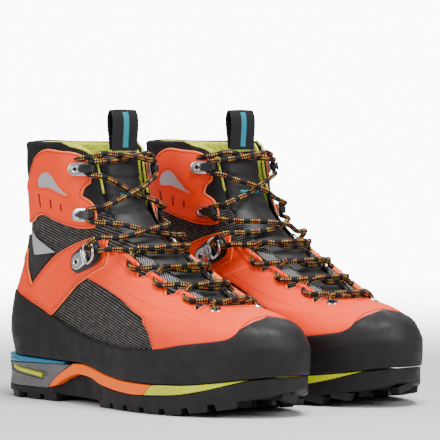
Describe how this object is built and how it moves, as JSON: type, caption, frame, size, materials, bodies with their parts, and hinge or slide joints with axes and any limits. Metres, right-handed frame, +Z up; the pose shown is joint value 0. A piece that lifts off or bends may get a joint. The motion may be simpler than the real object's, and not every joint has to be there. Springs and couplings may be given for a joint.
{
  "type": "pair of mountaineering boots",
  "caption": "Pair of laced mountaineering boots with flexing cuffs, hinged locking lace rings, hooks, pull loops, rubber rand and layered lugged sole.",
  "frame": {"origin": "middle of the pair on the ground, at the bottom centre of its box", "axes": "+X from the heels to the toes, +Y towards the left boot, +Z up"},
  "size_m": [0.3109, 0.245, 0.2263],
  "materials": {
    "orange_synthetic": "matt coated microfibre with laser-cut edges",
    "woven_charcoal": "coarse woven nylon with light flecks",
    "black_softshell": "matt stretch knit",
    "black_rubber": "matt moulded rubber",
    "grey_urethane": "satin moulded urethane",
    "blue_urethane": "satin moulded urethane",
    "lime_urethane": "satin moulded urethane",
    "orange_foam": "moulded foam with a fine skin",
    "lime_lining": "brushed knit",
    "board_fibre": "pressed fibre",
    "lace_cord": "round braid with orange flecks",
    "polished_steel": "polished, worn at the edges",
    "grey_webbing": "ribbed woven tape"
  },
  "bodies": {
    "lowers": {"right_outsole": "black_rubber", "right_heel_frame": "grey_urethane", "right_heel_insert": "lime_urethane", "right_crampon_ledge": "blue_urethane", "right_arch_midsole": "orange_foam", "right_forefoot_midsole": "lime_urethane", "right_insole_board": "board_fibre", "right_footbed": "black_softshell", "right_upper_shell": "woven_charcoal", "right_ankle_flex": "woven_charcoal", "right_rand": "black_rubber", "right_quarter_overlay": "orange_synthetic", "right_heel_panel": "black_softshell", "right_vamp_overlay": "orange_synthetic", "right_webbing_lateral": "grey_webbing", "right_webbing_medial": "grey_webbing", "right_lock_plate_lateral": "polished_steel", "right_lock_plate_medial": "polished_steel", "right_lace": "lace_cord", "left_outsole": "black_rubber", "left_heel_frame": "grey_urethane", "left_heel_insert": "lime_urethane", "left_crampon_ledge": "blue_urethane", "left_arch_midsole": "orange_foam", "left_forefoot_midsole": "lime_urethane", "left_insole_board": "board_fibre", "left_footbed": "black_softshell", "left_upper_shell": "woven_charcoal", "left_ankle_flex": "woven_charcoal", "left_rand": "black_rubber", "left_quarter_overlay": "orange_synthetic", "left_heel_panel": "black_softshell", "left_vamp_overlay": "orange_synthetic", "left_webbing_lateral": "grey_webbing", "left_webbing_medial": "grey_webbing", "left_lock_plate_lateral": "polished_steel", "left_lock_plate_medial": "polished_steel", "left_lace": "lace_cord"},
    "right_cuff": {"right_collar": "black_softshell", "right_cuff_overlay": "orange_synthetic", "right_lining": "lime_lining", "right_tongue": "black_softshell", "right_upper_hook_lateral": "polished_steel", "right_upper_hook_medial": "polished_steel", "right_lower_hook_lateral": "polished_steel", "right_lower_hook_medial": "polished_steel"},
    "right_pull_loop": {"right_pull_loop": "black_softshell"},
    "right_ring_lateral": {"right_lock_ring_lateral": "polished_steel"},
    "right_ring_medial": {"right_lock_ring_medial": "polished_steel"},
    "left_cuff": {"left_collar": "black_softshell", "left_cuff_overlay": "orange_synthetic", "left_lining": "lime_lining", "left_tongue": "black_softshell", "left_upper_hook_lateral": "polished_steel", "left_upper_hook_medial": "polished_steel", "left_lower_hook_lateral": "polished_steel", "left_lower_hook_medial": "polished_steel"},
    "left_pull_loop": {"left_pull_loop": "black_softshell"},
    "left_ring_lateral": {"left_lock_ring_lateral": "polished_steel"},
    "left_ring_medial": {"left_lock_ring_medial": "polished_steel"}
  },
  "joints": [
    {"name": "right_cuff_flex", "type": "hinge", "parent": "lowers", "child": "right_cuff", "pos_m": [-0.0742, -0.064, 0.118], "axis": [0, 1, 0], "range_deg": [-6, 8], "stiffness_Nm_per_rad": 12, "deforming": ["right_ankle_flex", "right_tongue", "right_lining", "right_lace"]},
    {"name": "right_pull_loop_swing", "type": "hinge", "parent": "right_cuff", "child": "right_pull_loop", "pos_m": [-0.0392, -0.064, 0.206], "axis": [0, 1, 0], "range_deg": [-60, 60], "stiffness_Nm_per_rad": 0.02},
    {"name": "right_ring_lateral_swing", "type": "hinge", "parent": "lowers", "child": "right_ring_lateral", "pos_m": [-0.03195, -0.1084, 0.11609], "axis": [0.4035, -0.0856, -0.911], "range_deg": [-10, 60], "deforming": ["right_lace"]},
    {"name": "right_ring_medial_swing", "type": "hinge", "parent": "lowers", "child": "right_ring_medial", "pos_m": [-0.03318, -0.02604, 0.11599], "axis": [-0.4075, -0.0468, 0.912], "range_deg": [-10, 60], "deforming": ["right_lace"]},
    {"name": "left_cuff_flex", "type": "hinge", "parent": "lowers", "child": "left_cuff", "pos_m": [-0.0742, 0.064, 0.118], "axis": [0, 1, 0], "range_deg": [-6, 8], "stiffness_Nm_per_rad": 12, "deforming": ["left_ankle_flex", "left_tongue", "left_lining", "left_lace"]},
    {"name": "left_pull_loop_swing", "type": "hinge", "parent": "left_cuff", "child": "left_pull_loop", "pos_m": [-0.0392, 0.064, 0.206], "axis": [0, 1, 0], "range_deg": [-60, 60], "stiffness_Nm_per_rad": 0.02},
    {"name": "left_ring_lateral_swing", "type": "hinge", "parent": "lowers", "child": "left_ring_lateral", "pos_m": [-0.03195, 0.1084, 0.11609], "axis": [-0.4035, -0.0856, 0.911], "range_deg": [-10, 60], "deforming": ["left_lace"]},
    {"name": "left_ring_medial_swing", "type": "hinge", "parent": "lowers", "child": "left_ring_medial", "pos_m": [-0.03318, 0.02604, 0.11599], "axis": [0.4075, -0.0468, -0.912], "range_deg": [-10, 60], "deforming": ["left_lace"]}
  ]
}
